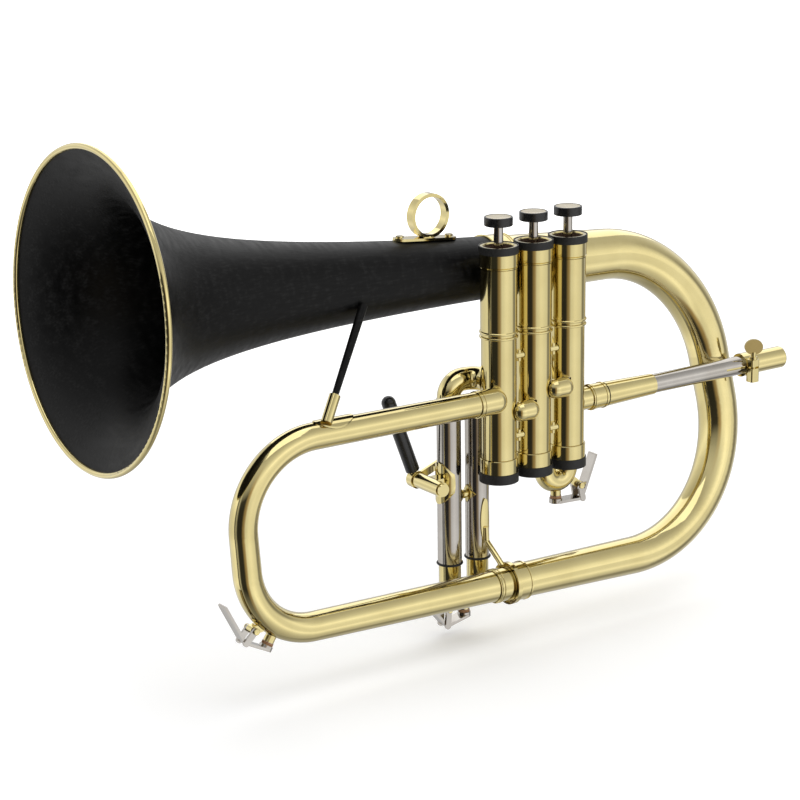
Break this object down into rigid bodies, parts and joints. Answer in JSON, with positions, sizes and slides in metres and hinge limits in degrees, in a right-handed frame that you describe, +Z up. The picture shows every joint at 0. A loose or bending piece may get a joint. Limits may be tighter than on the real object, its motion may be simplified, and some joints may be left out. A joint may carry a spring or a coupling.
{
  "type": "flugelhorn",
  "caption": "Conical brass instrument with piston valves, a wide carbon-fibre bell, hinged drain keys, drawing slides and a trigger.",
  "frame": {"origin": "middle of valve 2: on its axis, at half the height of the valve block, which is where the hand holds the instrument", "axes": "+X toward the player, the bell opens toward -X; +Z up along the valves; +Y to the player's right, toward the bell's side"},
  "size_m": [0.4211, 0.1608, 0.2822],
  "materials": {
    "carbon": "satin black carbon fibre",
    "brass": "polished yellow brass under clear lacquer",
    "nickel": "polished nickel silver",
    "steel": "bright spring steel",
    "black_plastic": "semi-gloss black",
    "rubber": "matt black",
    "felt": "dark brown felt"
  },
  "bodies": {
    "root": {"back_bow": "brass", "bell": "carbon", "bell_brace_foot": "brass", "bell_brace_rod": "carbon", "bell_ferrule": "brass", "bell_rim": "brass", "bell_stay": "brass", "bottom_cap_1": "brass", "bottom_cap_2": "brass", "bottom_cap_3": "brass", "bow_ferrule": "brass", "cap_trim_rings": "rubber", "casing_bridges": "brass", "clamp_ring": "brass", "finger_ring": "brass", "first_slide_elbows": "brass", "first_slide_tubes": "brass", "front_bow": "brass", "lead_knuckle": "brass", "lead_sleeve": "brass", "lead_tube": "nickel", "main_key_seat": "brass", "outlet_knuckle": "brass", "ring_screws": "brass", "s_brace": "brass", "second_slide_tubes": "brass", "third_slide_brace": "brass", "third_slide_elbows": "brass", "third_slide_tubes": "nickel", "top_cap_1": "brass", "top_cap_2": "brass", "top_cap_3": "brass", "top_felts": "felt", "trigger_saddle": "brass", "valve_casing_1": "brass", "valve_casing_2": "brass", "valve_casing_3": "brass", "valve_guides": "brass", "valve_passages": "brass", "valve_spring_1": "steel", "valve_spring_2": "steel", "valve_spring_3": "steel"},
    "valve_1": {"piston_1": "nickel", "finger_button_1": "black_plastic"},
    "valve_2": {"piston_2": "nickel", "finger_button_2": "black_plastic"},
    "valve_3": {"piston_3": "nickel", "finger_button_3": "black_plastic"},
    "third_slide": {"third_slide_bow": "brass", "slide_o_rings": "rubber", "trigger_link": "nickel"},
    "trigger": {"trigger_lever": "brass", "trigger_grip": "black_plastic"},
    "first_slide": {"first_slide_bow": "brass"},
    "second_slide": {"second_slide_bow": "brass"},
    "mouthpipe": {"mouthpipe": "brass"},
    "clamp_screw": {"wing_screw": "brass"},
    "third_key": {"third_key_lever": "nickel"},
    "first_key": {"first_key_lever": "nickel"},
    "main_key": {"main_key_lever": "nickel"}
  },
  "joints": [
    {"name": "valve_1_press", "type": "slide", "parent": "root", "child": "valve_1", "axis": [0, 0, -1], "range_m": [0, 0.0155], "stiffness_N_per_m": 120, "springref_m": -0.012, "deforming": ["valve_spring_1"]},
    {"name": "valve_2_press", "type": "slide", "parent": "root", "child": "valve_2", "axis": [0, 0, -1], "range_m": [0, 0.0155], "stiffness_N_per_m": 120, "springref_m": -0.012, "deforming": ["valve_spring_2"]},
    {"name": "valve_3_press", "type": "slide", "parent": "root", "child": "valve_3", "axis": [0, 0, -1], "range_m": [0, 0.0155], "stiffness_N_per_m": 120, "springref_m": -0.012, "deforming": ["valve_spring_3"]},
    {"name": "trigger_swing", "type": "hinge", "parent": "root", "child": "trigger", "pos_m": [-0.0555, 0.017, -0.0643], "axis": [0, 1, 0], "range_deg": [0, 40.2]},
    {"name": "third_slide_draw", "type": "slide", "parent": "root", "child": "third_slide", "axis": [0, 0, -1], "range_m": [0, 0.0129]},
    {"name": "first_slide_draw", "type": "slide", "parent": "root", "child": "first_slide", "axis": [0, 0, -1], "range_m": [0, 0.018]},
    {"name": "second_slide_draw", "type": "slide", "parent": "root", "child": "second_slide", "axis": [0, 1, 0], "range_m": [0, 0.008]},
    {"name": "mouthpipe_draw", "type": "slide", "parent": "root", "child": "mouthpipe", "axis": [0.9986, -0.0499, 0.019], "range_m": [0, 0.02]},
    {"name": "clamp_screw_turn", "type": "hinge", "parent": "root", "child": "clamp_screw", "pos_m": [0.1449, -0.0135, -0.02618], "axis": [0, 0, 1], "range_deg": [-180, 0]},
    {"name": "third_key_press", "type": "hinge", "parent": "third_slide", "child": "third_key", "pos_m": [-0.0464, 0.017, -0.1354], "axis": [0, 1, 0], "range_deg": [0, 14], "stiffness_Nm_per_rad": 0.05, "springref_deg": -20.05},
    {"name": "first_key_press", "type": "hinge", "parent": "first_slide", "child": "first_key", "pos_m": [0.0437, 0.017, -0.0828], "axis": [0, -1, 0], "range_deg": [0, 14], "stiffness_Nm_per_rad": 0.05, "springref_deg": -20.05},
    {"name": "main_key_press", "type": "hinge", "parent": "root", "child": "main_key", "pos_m": [-0.1825, -0.008, -0.1085], "axis": [0, 1, 0], "range_deg": [0, 14], "stiffness_Nm_per_rad": 0.05, "springref_deg": -20.05}
  ],
  "couplings": [
    {"joint": "trigger_swing", "follows": "third_slide_draw", "rad_per_m": 54.054}
  ]
}
